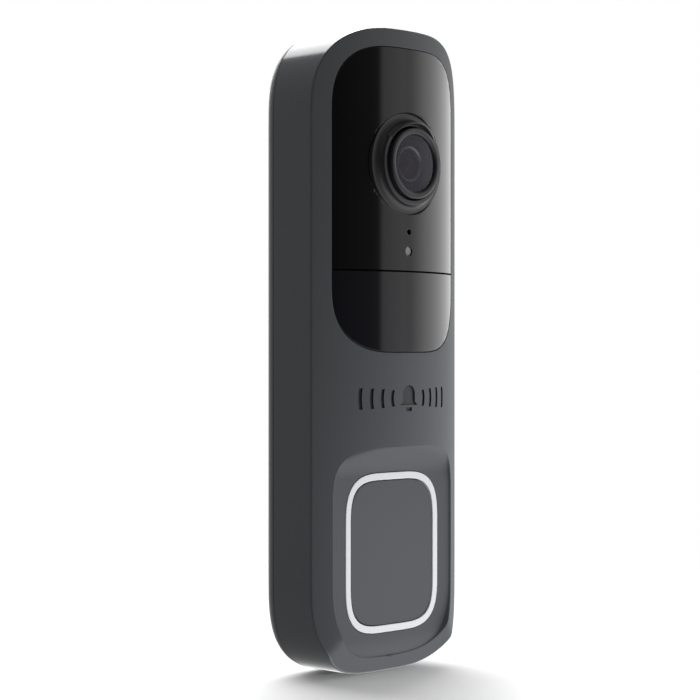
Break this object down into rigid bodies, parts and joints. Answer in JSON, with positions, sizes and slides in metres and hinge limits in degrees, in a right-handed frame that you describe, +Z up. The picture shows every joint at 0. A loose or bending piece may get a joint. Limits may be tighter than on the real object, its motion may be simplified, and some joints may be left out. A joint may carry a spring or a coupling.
{
  "type": "video doorbell",
  "caption": "Slim wall-mounted video doorbell with a bowed dark housing, a camera under a hood, a motion window and a lit bell button.",
  "frame": {"origin": "centre of the wall plate's back face, on the wall", "axes": "+Z up, +Y into the wall, the front faces -Y, +X to the right seen from the front"},
  "size_m": [0.046, 0.0256, 0.14],
  "materials": {
    "housing_grey": "fine matte grain",
    "rear_grey": "satin",
    "plate_grey": "fine matte grain",
    "window_black": "polished",
    "motion_window_black": "polished",
    "bezel_black": "satin",
    "lens_ring_grey": "satin",
    "lens_glass": "coated",
    "lens_black": "matte",
    "bright_metal": "satin",
    "button_grey": "fine matte grain",
    "ring_white": "lit from behind",
    "led_yellow": "clear",
    "board_green": "solder mask",
    "chip_black": "matte",
    "connector_white": "matte",
    "rubber_black": "matte",
    "silicone_grey": "matte",
    "copper_film": "satin",
    "battery_wrap": "shrink wrap",
    "wire_red": "satin",
    "clear_plastic": "clear"
  },
  "bodies": {
    "wall_plate": {"mounting_plate": "plate_grey"},
    "doorbell": {"rear_housing": "rear_grey", "front_housing": "housing_grey", "perimeter_gasket": "rubber_black", "housing_screws": "bright_metal", "camera_window": "window_black", "pir_window": "motion_window_black", "window_seal": "rubber_black", "lens_bezel": "bezel_black", "lens_ring": "lens_ring_grey", "lens_cover": "lens_glass", "lens_barrel": "lens_black", "lens_inner_ring": "bright_metal", "front_lens": "lens_glass", "rear_lens": "lens_glass", "camera_holder": "lens_black", "image_sensor": "chip_black", "camera_board": "board_green", "camera_flex": "copper_film", "ir_board": "board_green", "ir_leds": "clear_plastic", "ir_spacers": "connector_white", "mic_boot": "rubber_black", "microphone": "bright_metal", "light_pipe": "clear_plastic", "light_sensor": "connector_white", "pir_sensor": "bright_metal", "pir_shroud": "lens_black", "light_ring": "ring_white", "led_board": "board_green", "ring_leds": "led_yellow", "button_switch": "chip_black", "main_board": "board_green", "board_screws": "bright_metal", "processor": "chip_black", "shield_can": "bright_metal", "radio_module": "bright_metal", "board_connectors": "connector_white", "capacitors": "bright_metal", "battery_pack": "battery_wrap", "battery_pad": "rubber_black", "speaker_frame": "lens_black", "speaker_cone": "rubber_black", "speaker_gasket": "rubber_black", "speaker_mesh": "rubber_black", "terminal_block": "chip_black", "terminal_screws": "bright_metal", "tamper_spring": "bright_metal", "tamper_switch": "chip_black", "pairing_switch": "chip_black", "wifi_antenna": "copper_film", "battery_leads": "wire_red", "speaker_leads": "wire_red"},
    "bell_button": {"button_cap": "button_grey", "switch_stem": "connector_white", "button_seal": "silicone_grey"},
    "ir_cut_filter": {"ir_cut_filter": "lens_glass"},
    "tamper_plunger": {"tamper_plunger": "connector_white"},
    "pairing_button": {"pairing_button": "silicone_grey"}
  },
  "joints": [
    {"name": "lift_off", "type": "slide", "parent": "wall_plate", "child": "doorbell", "axis": [0, 0, 1], "range_m": [0, 0.006]},
    {"name": "bell_press", "type": "slide", "parent": "doorbell", "child": "bell_button", "axis": [0, 1, 0], "range_m": [0, 0.0005], "stiffness_N_per_m": 4000},
    {"name": "filter_slide", "type": "slide", "parent": "doorbell", "child": "ir_cut_filter", "axis": [1, 0, 0], "range_m": [0, 0.0066]},
    {"name": "tamper_release", "type": "slide", "parent": "doorbell", "child": "tamper_plunger", "axis": [0, 1, 0], "range_m": [0, 0.0015], "stiffness_N_per_m": 300, "deforming": ["tamper_spring"]},
    {"name": "pairing_press", "type": "slide", "parent": "doorbell", "child": "pairing_button", "axis": [0, -1, 0], "range_m": [0, 0.0004], "stiffness_N_per_m": 3000}
  ]
}
